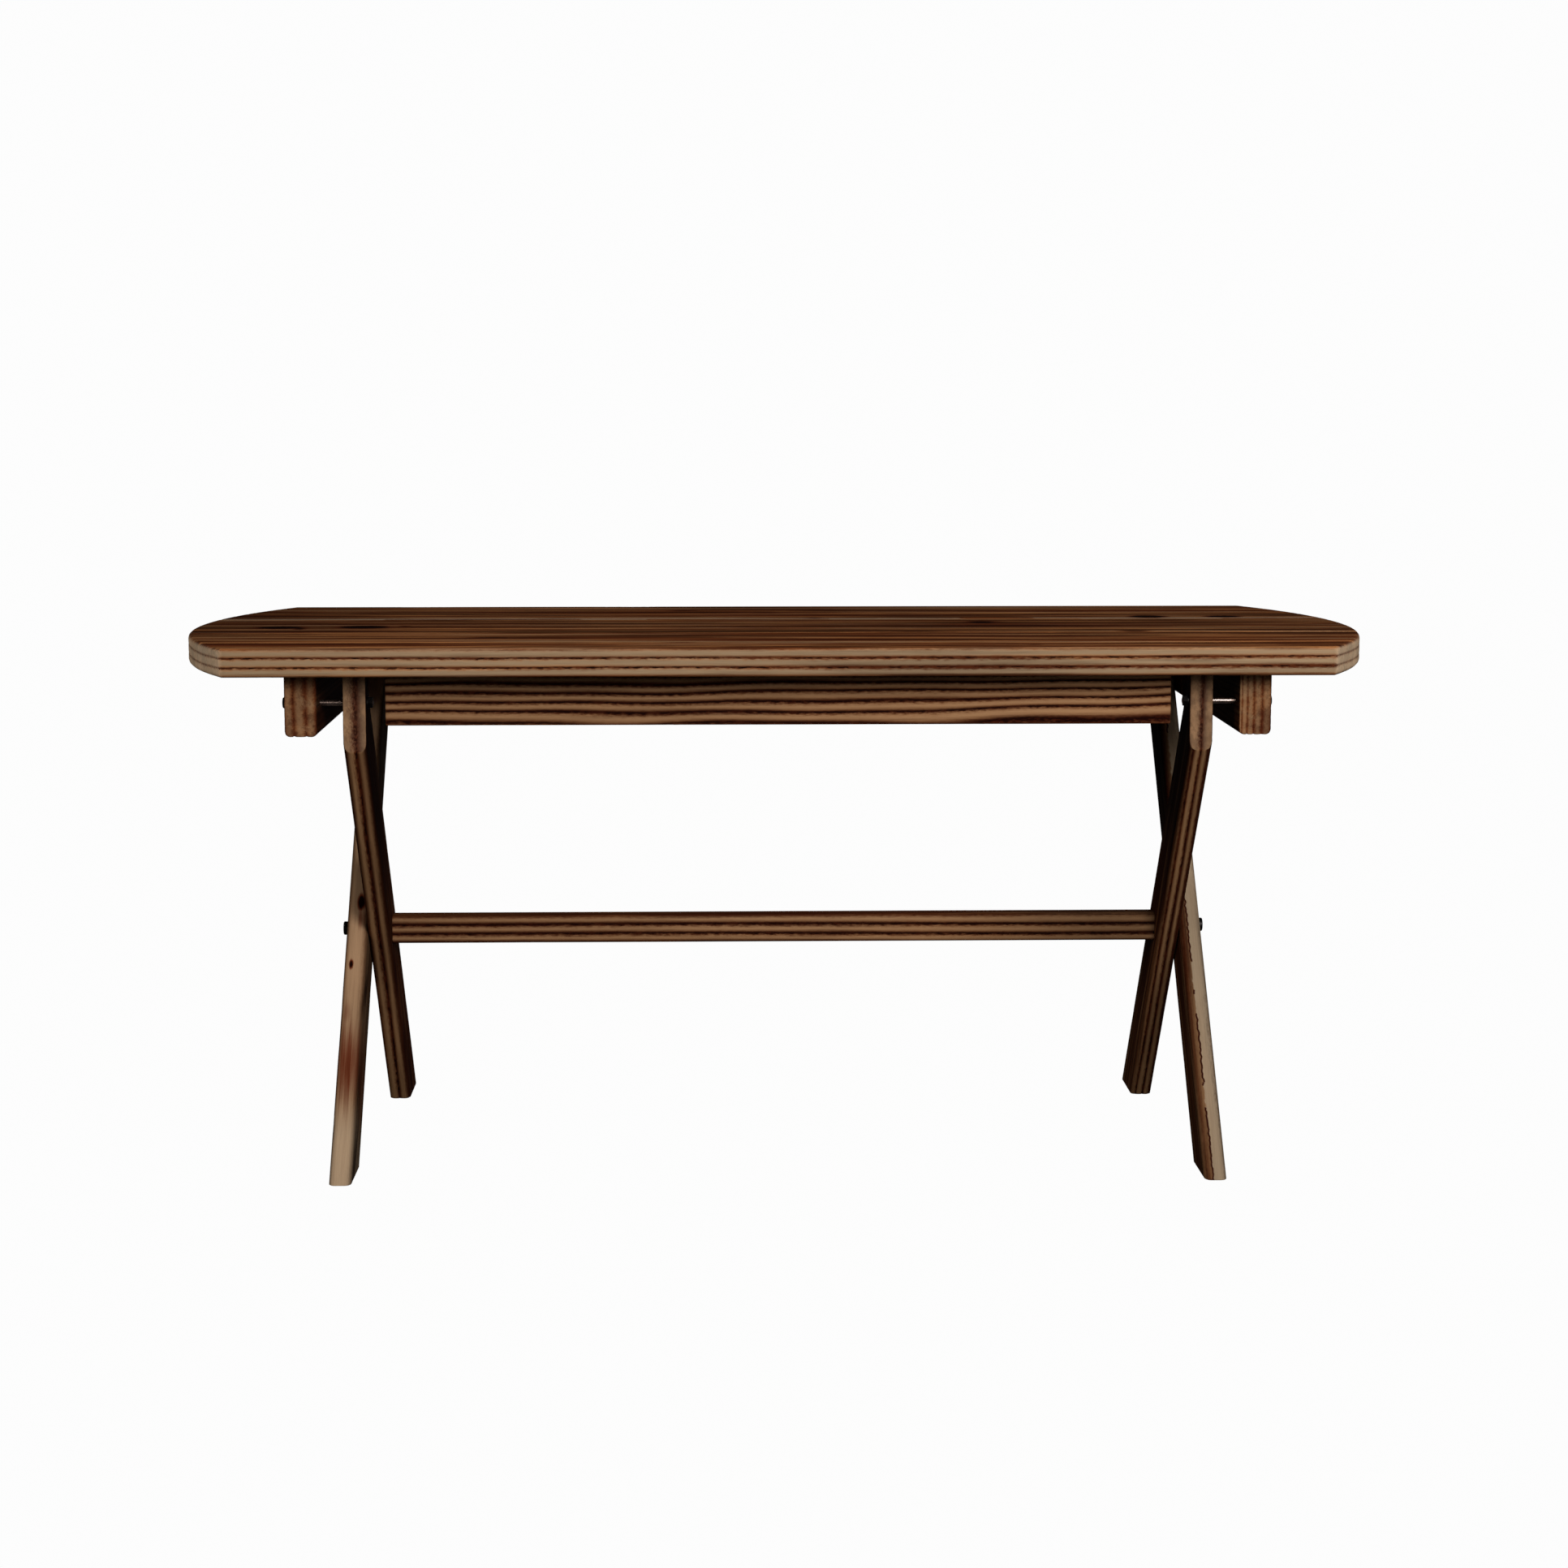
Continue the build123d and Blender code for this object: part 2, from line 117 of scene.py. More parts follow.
def skin(us, vs, ws):
    """The closed surface of a block of grid lines: its points and its four-sided faces."""
    shape = (len(us), len(vs), len(ws))
    inside = np.zeros(shape, bool)
    inside[1:-1, 1:-1, 1:-1] = True
    ids = np.full(shape, -1)
    ids[~inside] = np.arange((~inside).sum())
    i, j, k = np.nonzero(~inside)
    points = np.stack([us[i], vs[j], ws[k]], axis=1)
    faces = []
    for axis in range(3):
        for end in (0, -1):
            a = np.take(ids, end, axis=axis)
            quads = np.stack([a[:-1, :-1], a[1:, :-1], a[1:, 1:], a[:-1, 1:]], axis=-1)
            quads = quads.reshape(-1, 4)
            if (end == 0) != (axis == 1):
                quads = quads[:, ::-1]
            faces.append(quads)
    return points, np.concatenate(faces)


def rounded(v, w, half_v, half_w, radius):
    """Carries a rectangle's points onto the same rectangle with rounded corners."""
    over_v = np.maximum(np.abs(v) - (half_v - radius), 0)
    over_w = np.maximum(np.abs(w) - (half_w - radius), 0)
    reach = np.hypot(over_v, over_w)
    share = np.where(reach > 0, np.maximum(over_v, over_w) / np.maximum(reach, 1e-12), 1)
    v = np.sign(v) * (np.minimum(np.abs(v), half_v - radius) + over_v * share)
    w = np.sign(w) * (np.minimum(np.abs(w), half_w - radius) + over_w * share)
    return v, w


def bar_surface(length, width, depth, steps, radius, foot_radius=None, end_round=1.5 * MM):
    """A bar along u, centred on the origin.  foot_radius is for the two low-w edges."""
    us = spaced(-length / 2, length / 2, steps[0], end_round, 3)
    vs = spaced(-width / 2, width / 2, steps[1], max(radius, foot_radius or 0))
    ws = spaced(-depth / 2, depth / 2, steps[2], max(radius, foot_radius or 0))
    points, faces = skin(us, vs, ws)
    u, v, w = points.T
    foot = radius if foot_radius is None else foot_radius
    v, w = rounded(v, w, width / 2, depth / 2, np.where(w < 0, foot, radius))
    left = np.clip(length / 2 - np.abs(u), 0, end_round)
    inset = end_round - np.sqrt(end_round**2 - (end_round - left) ** 2)
    v = v * (width / 2 - inset) / (width / 2)
    w = w * (depth / 2 - inset) / (depth / 2)
    return np.stack([u, v, w], axis=1), faces


def mesh_object(name, points, faces):
    """A new object in the scene from an array of points and one of faces."""
    mesh = bpy.data.meshes.new(name)
    mesh.from_pydata(points.tolist(), [], faces.tolist())
    mesh.update()
    piece = bpy.data.objects.new(name, mesh)
    bpy.context.scene.collection.objects.link(piece)
    return piece


def read(piece):
    """The piece's points and the normals at them."""
    points = np.zeros(len(piece.data.vertices) * 3, np.float32)
    normals = np.zeros(len(piece.data.vertices) * 3, np.float32)
    piece.data.vertices.foreach_get("co", points)
    piece.data.vertices.foreach_get("normal", normals)
    return points.reshape(-1, 3).astype(float), normals.reshape(-1, 3).astype(float)


def rod_mesh(name, start, end, radius, sides=40):
    """A closed round cutter from start to end."""
    start, end = np.array(start, float), np.array(end, float)
    along = (end - start) / np.linalg.norm(end - start)
    across = np.cross(along, (0.0, 0.6, 0.8) if abs(along[0]) > 0.5 else (1.0, 0.0, 0.0))
    across /= np.linalg.norm(across)
    other = np.cross(along, across)
    turns = np.linspace(0, 2 * math.pi, sides, endpoint=False)
    ring = np.outer(np.cos(turns), across) * radius + np.outer(np.sin(turns), other) * radius
    points = np.concatenate([start + ring, end + ring])
    walls = [[i, (i + 1) % sides, sides + (i + 1) % sides, sides + i] for i in range(sides)]
    caps = [list(range(sides))[::-1], list(range(sides, 2 * sides))]
    mesh = bpy.data.meshes.new(name)
    mesh.from_pydata(points.tolist(), [], walls + caps)
    return mesh


def block_mesh(name, xs, ys, zs):
    """A closed box cutter between two places on each axis, the lower one first."""
    corners = [(x, y, z) for x in xs for y in ys for z in zs]
    walls = [[0, 1, 3, 2], [4, 6, 7, 5], [0, 4, 5, 1], [2, 3, 7, 6], [0, 2, 6, 4], [1, 5, 7, 3]]
    mesh = bpy.data.meshes.new(name)
    mesh.from_pydata(corners, [], walls)
    return mesh


def bore(x, y, foot_z):
    """Cutter for a screw's bore, from below the piece up to the screw's seat."""
    return rod_mesh("bore", (x, y, foot_z - CUT_MARGIN), (x, y, SCREW_SEAT_Z), SCREW_BORE_RADIUS)


def cut(piece, cutters):
    """Takes the cutter meshes out of the piece and leaves a plain mesh."""
    for mesh in cutters:
        cutter = bpy.data.objects.new("cutter", mesh)
        bpy.context.scene.collection.objects.link(cutter)
        change = piece.modifiers.new("cut", "BOOLEAN")
        change.operation = "DIFFERENCE"
        change.solver = "EXACT"
        change.object = cutter
        bpy.context.view_layer.update()
        evaluated = piece.evaluated_get(bpy.context.evaluated_depsgraph_get())
        result = bpy.data.meshes.new_from_object(evaluated)
        piece.modifiers.clear()
        piece.data = result
        bpy.data.objects.remove(cutter)


# ---- grain -----------------------------------------------------------------------------
def drift(points, scale, seed, count=8):
    """Smooth seeded noise of about unit size; scale is its reach along each axis."""
    rng = np.random.default_rng(seed)
    total = np.zeros(len(points))
    for _ in range(count):
        wave = rng.normal(size=3) * 2.2
        total += np.sin((points / np.array(scale)) @ wave + rng.uniform(0, 2 * math.pi))
    return total / math.sqrt(count / 2)


def groove(ring, points, seed, sharp=0.80):
    """1 along the bottom of the groove between two growth rings, 0 on the ridges."""
    ragged = 0.05 * drift(points, (6 * MM, 5 * MM, 5 * MM), seed)
    near = np.abs(2 * np.mod(ring, 1) - 1) + ragged
    step = np.clip((near - sharp) / (1 - sharp), 0, 1)
    return step * step * (3 - 2 * step)


def carve(piece, local, normals_local, rings, seed, knots=0.0, tone=1.0, pale=0.0):
    """Cuts the grain into the piece and stores what its material reads.

    local has the grain along its first axis.  rings gives, for the narrow faces and then for
    the wide ones, the growth-ring coordinate, the axis that it runs along and the groove depth.
    tone multiplies the colour, with painted light and shade in it as well as the wood's own changes;
    pale bleaches it, and on the boards that paleness is painted light."""
    weights = []
    sink = np.zeros(len(local))
    for n, (ring, facing, depth) in enumerate(rings):
        weight = np.clip(1 - np.abs(normals_local @ np.array(facing)) ** 1.5, 0, 1)
        weight = weight * (1 - (0.55, 1.0)[n] * normals_local[:, 0] ** 2)
        weights.append(weight)
        pillow = np.abs(2 * np.mod(ring, 1) - 1) ** 2
        breaks = drift(local, (60 * MM, 30 * MM, 30 * MM), seed + 20 + n)
        broken = np.clip(0.75 + 0.35 * breaks, 0.25, 1.1)
        sink += weight * depth * (0.30 * pillow + 0.70 * broken * groove(ring, local, seed + n))
    points, normals = read(piece)
    points = points - normals * sink[:, None]
    piece.data.vertices.foreach_set("co", points.astype(np.float32).ravel())
    level = np.zeros(len(local))
    values = {
        "rings": np.stack([rings[0][0], rings[1][0], level + knots], axis=1),
        "weights": np.stack([weights[0], weights[1], level + tone], axis=1),
        "grain": local,
        "finish": np.stack([level + pale, level, level], axis=1),
    }
    for name, value in values.items():
        attribute = piece.data.attributes.new(name, "FLOAT_VECTOR", "POINT")
        attribute.data.foreach_set("vector", value.astype(np.float32).ravel())
    piece.data.polygons.foreach_set("use_smooth", np.ones(len(piece.data.polygons), bool))
    piece.data.update()


def spots(a, b, places):
    """Soft spots, such as knots.  places are (a, b, half length, half width, strength), where
    all but the strength are in millimetres."""
    total = np.zeros(len(a))
    for at_a, at_b, long, wide, strength in places:
        bump = np.exp(-(((a / MM - at_a) / long) ** 2) - ((b / MM - at_b) / wide) ** 2)
        total = np.maximum(total, strength * bump)
    return total


# ---- materials -------------------------------------------------------------------------
def colour(red, green, blue):
    """Display colour, 0 to 255, as linear light."""
    parts = [c / 255 for c in (red, green, blue)]
    return tuple(c / 12.92 if c <= 0.04045 else ((c + 0.055) / 1.055) ** 2.4 for c in parts) + (1.0,)


class Nodes:
    """A short hand for wiring a material."""

    def __init__(self, name):
        self.material = bpy.data.materials.new(name)
        self.material.use_nodes = True
        self.tree = self.material.node_tree
        self.tree.nodes.clear()

    def add(self, kind, inputs=None, **settings):
        node = self.tree.nodes.new(kind)
        for key, value in settings.items():
            setattr(node, key, value)
        for key, value in (inputs or {}).items():
            if isinstance(value, bpy.types.NodeSocket):
                self.tree.links.new(value, node.inputs[key])
            else:
                node.inputs[key].default_value = value
        return node

    def math(self, operation, a, b=0.0, clamp=False):
        return self.add("ShaderNodeMath", {0: a, 1: b}, operation=operation, use_clamp=clamp).outputs[0]

    def ramp(self, value, low, high, to_low=0.0, to_high=1.0):
        inputs = {"Value": value, "From Min": low, "From Max": high, "To Min": to_low, "To Max": to_high}
        return self.add("ShaderNodeMapRange", inputs, interpolation_type="SMOOTHSTEP").outputs[0]

    def mix(self, share, a, b, blend="MIX"):
        node = self.add("ShaderNodeMix", {0: share, 6: a, 7: b}, data_type="RGBA", blend_type=blend)
        return node.outputs[2]

    def noise(self, vector, stretch, detail=4.0, rough=0.55, offset=0.0):
        inputs = {"Vector": vector, "Scale": stretch, "Location": (offset, offset * 0.7, offset * 1.3)}
        mapped = self.add("ShaderNodeMapping", inputs).outputs[0]
        inputs = {"Vector": mapped, "Scale": 1.0, "Detail": detail, "Roughness": rough}
        return self.add("ShaderNodeTexNoise", inputs).outputs["Fac"]


def wood(name, crest, light, mid, line, seed, streaks=0.5, soft=0.8, first_soft=1.0, wide=0.5):
    """Brushed stained softwood: pale ridges (crest) that fall away to red-brown grooves (line), the
    fall-off partly the late wood's own colour and partly painted shade of the rounded ridges.

    soft is how strongly the wider faces show their rings, first_soft the narrower ones.
    wide is how far the dark late wood, with its painted shade, spreads beside each groove, 0 to 1."""
    n = Nodes(name)
    rings = n.add("ShaderNodeAttribute", attribute_name="rings").outputs["Vector"]
    weights = n.add("ShaderNodeAttribute", attribute_name="weights").outputs["Vector"]
    grain = n.add("ShaderNodeAttribute", attribute_name="grain").outputs["Vector"]
    finish = n.add("ShaderNodeAttribute", attribute_name="finish").outputs["Vector"]
    ring = n.add("ShaderNodeSeparateXYZ", {0: rings}).outputs
    weight = n.add("ShaderNodeSeparateXYZ", {0: weights}).outputs
    pale = n.add("ShaderNodeSeparateXYZ", {0: finish}).outputs[0]
    ragged = n.math("SUBTRACT", n.noise(grain, (110, 420, 420), 5, 0.65, seed), 0.5)
    patchy = n.noise(grain, (14, 60, 60), 3, 0.5, seed + 3.1)

    def nearness(value):
        """1 at the groove, 0 on the ridge, with a ragged edge."""
        moved = n.math("ADD", value, n.math("MULTIPLY", ragged, 0.34))
        fold = n.math("SUBTRACT", n.math("MULTIPLY", n.math("FRACT", moved), 2.0), 1.0)
        return n.math("ADD", n.math("ABSOLUTE", fold), n.math("MULTIPLY", ragged, 0.40))

    near = nearness(ring[0])
    narrow = n.math("MULTIPLY", weight[0], first_soft)
    halo = n.math("MULTIPLY", n.ramp(near, 0.80 - 0.45 * wide, 1.0), narrow)
    breaks = n.noise(grain, (60, 240, 240), 3, 0.6, seed + 15.1)
    broken = n.ramp(breaks, 0.60 - 0.25 * wide, 0.72 - 0.25 * wide)
    core = n.math("MULTIPLY", n.math("MULTIPLY", n.ramp(near, 0.87 - 0.20 * wide, 1.0), narrow), broken)
    near_side = nearness(ring[1])
    side = n.math("MULTIPLY", n.math("MULTIPLY", n.ramp(near_side, 0.40, 0.98), weight[1]), soft)
    side = n.math("MULTIPLY", side, n.ramp(patchy, 0.25, 0.55, 0.45, 1.0))
    broad = n.noise(grain, (1.8, 30, 30), 4, 0.55, seed + 1.7)
    fine = n.noise(grain, (5.5, 210, 210), 5, 0.6, seed + 5.3)
    band = n.noise(grain, (1.4, 34, 34), 4, 0.6, seed + 12.3)
    fibre = n.noise(grain, (30, 1500, 1500), 3, 0.6, seed + 8.9)
    tint = n.mix(n.ramp(broad, 0.38, 0.62), mid, light)
    # Partly painted shade: the crest colour is strongest mid-ridge and gives way towards the grooves, as
    # light does on a rounded ridge.
    ridge = n.math("MULTIPLY", n.ramp(near, 1.0, 0.75 - 0.9 * wide), weight[0])
    tint = n.mix(ridge, tint, crest)
    plain = n.math("MULTIPLY", n.math("SUBTRACT", 1.0, n.math("MULTIPLY", ridge, 0.7)), streaks)
    pale_band = n.math("MULTIPLY", n.ramp(band, 0.46, 0.38), n.math("MULTIPLY", plain, 0.8))
    tint = n.mix(pale_band, tint, crest)
    tint = n.mix(n.math("MULTIPLY", n.ramp(fine, 0.46, 0.66), plain), tint, DARK)
    dark_band = n.math("MULTIPLY", n.ramp(band, 0.50, 0.58), n.math("MULTIPLY", plain, 1.1, True))
    tint = n.mix(dark_band, tint, DARK)
    # Pale places: the legs' own paler wood, and on the boards painted highlight and painted light.
    tint = n.mix(n.math("MULTIPLY", pale, n.ramp(fine, 0.30, 0.70, 1.0, 0.75)), tint, BLEACHED_AND_PAINTED_LIGHT)
    tint = n.mix(side, tint, DARK)
    tint = n.mix(halo, tint, line)
    tint = n.mix(core, tint, BLACKENED)
    spread = n.math("ADD", ring[2], n.math("MULTIPLY", n.math("SUBTRACT", fine, 0.5), 0.55))
    tint = n.mix(n.ramp(spread, 0.30, 0.72), tint, line)
    tint = n.mix(n.ramp(spread, 0.62, 0.90), tint, BLACKENED)
    shade = n.math("MULTIPLY", weight[2], n.ramp(fibre, 0.25, 0.75, 0.90, 1.08))
    grey = n.add("ShaderNodeCombineColor", {0: shade, 1: shade, 2: shade}).outputs[0]
    tint = n.mix(1.0, tint, grey, "MULTIPLY")
    height = n.math("SUBTRACT", n.math("ADD", n.math("MULTIPLY", fibre, 0.35), fine), halo)
    bump = n.add("ShaderNodeBump", {"Strength": 0.35, "Distance": 0.0006, "Height": height}).outputs[0]
    rough = n.ramp(n.math("ADD", fine, halo), 0.3, 1.3, 0.68, 0.9)
    shader = n.add("ShaderNodeBsdfPrincipled", {"Base Color": tint, "Roughness": rough, "Normal": bump})
    shader.inputs["Specular IOR Level"].default_value = 0.03
    n.add("ShaderNodeOutputMaterial", {"Surface": shader.outputs[0]})
    return n.material


def metal(name, base, rough, metallic=1.0, head=None, head_x=0.0):
    """Finely worn metal.  head is the finish of what lies further out than head_x."""
    n = Nodes(name)
    place = n.add("ShaderNodeTexCoord").outputs["Object"]
    worn = n.noise(place, (700, 700, 700), 4, 0.6)
    cloudy = n.noise(place, (120, 120, 120), 3, 0.5, 2.0)
    dull = tuple(c * 0.6 for c in base[:3]) + (1.0,)
    tint = n.mix(n.ramp(cloudy, 0.35, 0.7), base, dull)
    if head:
        reach = n.math("ABSOLUTE", n.add("ShaderNodeSeparateXYZ", {0: place}).outputs[0])
        tint = n.mix(n.math("GREATER_THAN", reach, head_x), tint, head)
    bump = n.add("ShaderNodeBump", {"Strength": 0.2, "Distance": 0.0002, "Height": worn}).outputs[0]
    roughness = n.ramp(worn, 0.3, 0.7, rough - 0.08, rough + 0.12)
    inputs = {"Base Color": tint, "Roughness": roughness, "Normal": bump}
    shader = n.add("ShaderNodeBsdfPrincipled", inputs)
    shader.inputs["Metallic"].default_value = metallic
    n.add("ShaderNodeOutputMaterial", {"Surface": shader.outputs[0]})
    return n.material


def dowel_wood():
    """Pale beech of the dowels, which lie hidden in the wood."""
    n = Nodes("beech")
    place = n.add("ShaderNodeTexCoord").outputs["Object"]
    flecks = n.noise(place, (160, 900, 900), 4, 0.6)
    tint = n.mix(n.ramp(flecks, 0.35, 0.7), colour(196, 160, 118), colour(150, 112, 74))
    rough = n.ramp(flecks, 0.3, 0.7, 0.5, 0.7)
    shader = n.add("ShaderNodeBsdfPrincipled", {"Base Color": tint, "Roughness": rough})
    n.add("ShaderNodeOutputMaterial", {"Surface": shader.outputs[0]})
    return n.material


PALE = colour(162, 134, 103)
BROWN = colour(100, 58, 31)
DEEP = colour(72, 34, 15)
DARK = colour(44, 13, 5)
LINE = colour(66, 24, 9)
BLACKENED = colour(20, 4, 2)
BLEACHED_AND_PAINTED_LIGHT = colour(178, 157, 130)

TOP_WOOD = wood(
    "top_wood", PALE, colour(186, 122, 73), colour(120, 59, 27), colour(84, 38, 18),
    seed=11.0, streaks=0.66, soft=0.5, wide=0.62,
)
FRAME_WOOD = wood("frame_wood", colour(130, 103, 74), BROWN, DEEP, LINE, seed=23.0, wide=0.70)
RAIL_WOOD = wood("rail_wood", colour(142, 106, 74), BROWN, DEEP, DARK, seed=29.0, wide=0.95)
LEG_WOOD = wood(
    "leg_wood", colour(146, 108, 74), BROWN, DEEP, LINE,
    seed=31.0, streaks=0.6, soft=0.95, wide=0.75,
)
SMOOTH_LEG_WOOD = wood(
    "smooth_leg_wood", colour(160, 126, 95), colour(154, 116, 84), colour(118, 80, 52),
    colour(98, 44, 24), seed=47.0, streaks=0.36, soft=0.85, first_soft=0.25,
)


def finish_wood(piece, node, body, material):
    """Gives the piece its material, and its node's place and body in the frame."""
    piece.data.materials.clear()
    piece.data.materials.append(material)
    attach(piece, body)
    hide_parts(node)


# ---- the three boards ------------------------------------------------------------------
LIP_HIGHLIGHT_Y = 121                     # the painted highlight on the rounded lip beside the rear seam, in mm

# Bands of lighter and darker wood along the boards, and one painted highlight: (y in mm, half width in
# mm, change).
BANDS = (
    (-280, 34, 0.30),   # pale sapwood behind the front edge
    (-150, 30, 0.10),
    (-102, 8, -0.45),   # the dark line beside the front seam
    (62, 40, -0.22),    # heartwood of the middle board
    # painted highlight on the rear seam's rounded lip
    (LIP_HIGHLIGHT_Y, 13, 0.60),
)


def plank(node, knots, seed):
    """One board, its ends bent to the arc that rounds the top.

    knots are (x, y, half length, half width, strength), in millimetres but for the strength."""
    low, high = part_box(node)
    half_length, half_width = cad_bounds[1][:2]
    bulge = half_length - TOP_CORNER_X
    radius = (half_width**2 + bulge**2) / (2 * bulge)
    points, faces = bar_surface(
        2 * half_length, high[1] - low[1], high[2] - low[2],
        (4 * MM, 3.4 * MM, 1.5 * MM), BOARD_ROUND, None, BOARD_ROUND,
    )
    points[:, 1] += (low[1] + high[1]) / 2
    points[:, 2] += (low[2] + high[2]) / 2
    points[:, 0] *= (half_length - radius + np.sqrt(radius**2 - points[:, 1] ** 2)) / half_length
    piece = mesh_object("wood_" + node, points, faces)
    points, normals = read(piece)
    x, y, z = points.T
    middle_z = (low[2] + high[2]) / 2
    edge_ring = (z - middle_z) / BOARD_EDGE_RINGS + 0.5 + 0.03 * drift(points, (0.25, 0.2, 0.2), seed)
    top_ring = y / BOARD_TOP_RINGS + 0.55 * drift(points, (0.5, 0.09, 0.3), seed + 4)
    marks = spots(x, y, knots) * (normals[:, 2] > 0.3)
    flat = np.clip(normals[:, 2], 0, 1) ** 2
    change = sum(share * np.exp(-(((y / MM - at) / half) ** 2)) for at, half, share in BANDS)
    tone = (1 + 0.10 * drift(points, (0.9, 0.05, 1.0), seed + 9)) * (1 + flat * (change + 0.08))
    # Painted shade and light: the flat top is darker near its left end, away from the lamps, and lighter
    # near its front edge, nearest them.
    tone *= 1 - 0.22 * flat * np.clip((-x - 0.5) / 0.3, 0, 1)
    tone *= 1 + 0.28 * flat * np.clip((-y - 0.15) / 0.2, 0, 1)
    # Painted light and shade: the curved ends are paler, where light from the side falls on them, and
    # the other edges a little darker towards the left, away from the lamps.
    end = (1 - flat) * np.clip(np.abs(normals[:, 0]) * 1.6 - 0.4, 0, 1)
    tone *= 1 + 0.45 * end
    tone *= 1 - 0.13 * (1 - x / half_length) * (1 - flat) * (1 - end)
    # Painted highlight along the rounded lip at the rear seam, and painted light on the curved ends,
    # both made paler.
    painted_lip_highlight = flat * 0.95 * np.exp(-(((y / MM - LIP_HIGHLIGHT_Y) / 10) ** 2))
    painted_lip_highlight *= drift(points, (0.25, 0.3, 1.0), seed + 2) > -0.6
    pale = painted_lip_highlight + 0.75 * end
    rings = [(edge_ring, (0, 0, 1), 1.5 * MM), (top_ring, (0, 1, 0), 0.25 * MM)]
    carve(piece, points, normals, rings, seed, marks, tone, pale)
    finish_wood(piece, node, "top", TOP_WOOD)


plank("plank_front", [
    (-130, -285, 36, 15, 0.62), (-380, -198, 46, 12, 0.85), (380, -192, 42, 12, 0.85),
    (0, -195, 100, 9, 0.6), (330, -330, 20, 18, 0.62), (-640, -352, 60, 7, 0.75),
    (-260, -352, 70, 7, 0.7), (-50, -355, 34, 8, 0.7),
], 101)
plank("plank_middle", [
    (-570, -20, 42, 30, 1.4), (-685, -25, 42, 26, 1.3), (-655, -45, 14, 22, 0.9),
    (-515, -5, 14, 13, 0.8), (295, 50, 34, 30, 0.95), (260, -15, 12, 22, 0.72),
    (330, -32, 80, 8, 0.72), (405, -18, 14, 16, 0.72), (-40, -20, 28, 12, 0.8),
    (200, -110, 60, 9, 0.85), (490, -110, 32, 14, 0.9), (60, 116, 26, 8, 0.75),
], 102)
plank("plank_rear", [
    (545, 150, 32, 26, 1.3), (655, 150, 32, 22, 1.2), (-305, 138, 66, 12, 0.75),
    (60, 138, 24, 14, 0.75), (-130, 285, 38, 24, 0.72), (-10, 245, 34, 26, 0.68),
    (-590, 245, 40, 22, 0.62),
], 103)


# ---- battens, rail and stretcher -------------------------------------------------------
def batten(node, side, ring_places, seed):
    """ring_places are the grooves on the end faces, as shares of the width from low to high x."""
    low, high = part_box(node)
    middle = [(a + b) / 2 for a, b in zip(low, high)]
    points, faces = bar_surface(
        high[1] - low[1], high[0] - low[0], high[2] - low[2],
        (3 * MM, 1.2 * MM, 1.7 * MM), 0.8 * MM, BATTEN_FOOT_ROUND,
    )
    piece = mesh_object("wood_" + node, points[:, [1, 0, 2]] + np.array(middle), faces[:, ::-1])
    inner = min(abs(low[0]), abs(high[0]))
    cutters = []
    for board in (-1, 0, 1):
        for offset in (-BATTEN_SCREW_OFFSET, BATTEN_SCREW_OFFSET):
            cutters.append(bore(middle[0], board * BOARD_WIDTH + offset, low[2]))
    near_x, far_x = side * (inner - CUT_MARGIN), side * (inner + RELIEF_DEPTH)
    round_end = ((near_x, RELIEF_Y, RELIEF_Z), (far_x, RELIEF_Y, RELIEF_Z))
    cutters.append(rod_mesh("slot", *round_end, RELIEF_RADIUS))
    slot_ys = (RELIEF_Y - RELIEF_RADIUS, RELIEF_Y + RELIEF_RADIUS)
    slot_zs = (low[2] - CUT_MARGIN, RELIEF_Z)
    cutters.append(block_mesh("slot_block", sorted((near_x, far_x)), slot_ys, slot_zs))
    cut(piece, cutters)
    points, normals = read(piece)
    share = (points[:, 0] - low[0]) / (high[0] - low[0])
    marks = np.array([0.0] + list(ring_places) + [1.0])
    ring = np.interp(share, marks, np.arange(len(marks)))
    ring = ring + 0.04 * drift(points, (0.2, 0.3, 0.05), seed)
    local = points[:, [1, 0, 2]]
    local_normals = normals[:, [1, 0, 2]]
    side_ring = points[:, 2] / BATTEN_SIDE_RINGS + 0.5 * drift(points, (0.2, 0.4, 0.04), seed + 3)
    rings = [(ring, (0, 1, 0), 1.4 * MM), (side_ring, (0, 0, 1), 0.2 * MM)]
    # Painted shade: the wide side faces are made much darker, and the whole batten darker towards its
    # top, under the boards.
    facing = np.clip(np.abs(local_normals[:, 1]), 0, 1)
    tone = 1.22 - 1.02 * facing + 0.25 * (high[2] - points[:, 2]) / (high[2] - low[2])
    carve(piece, local, local_normals, rings, seed, 0.0, tone)
    finish_wood(piece, node, "top", FRAME_WOOD)


batten("batten_left", -1, (0.30, 0.68), 201)
batten("batten_right", 1, (0.08, 0.25, 0.45, 0.70), 202)


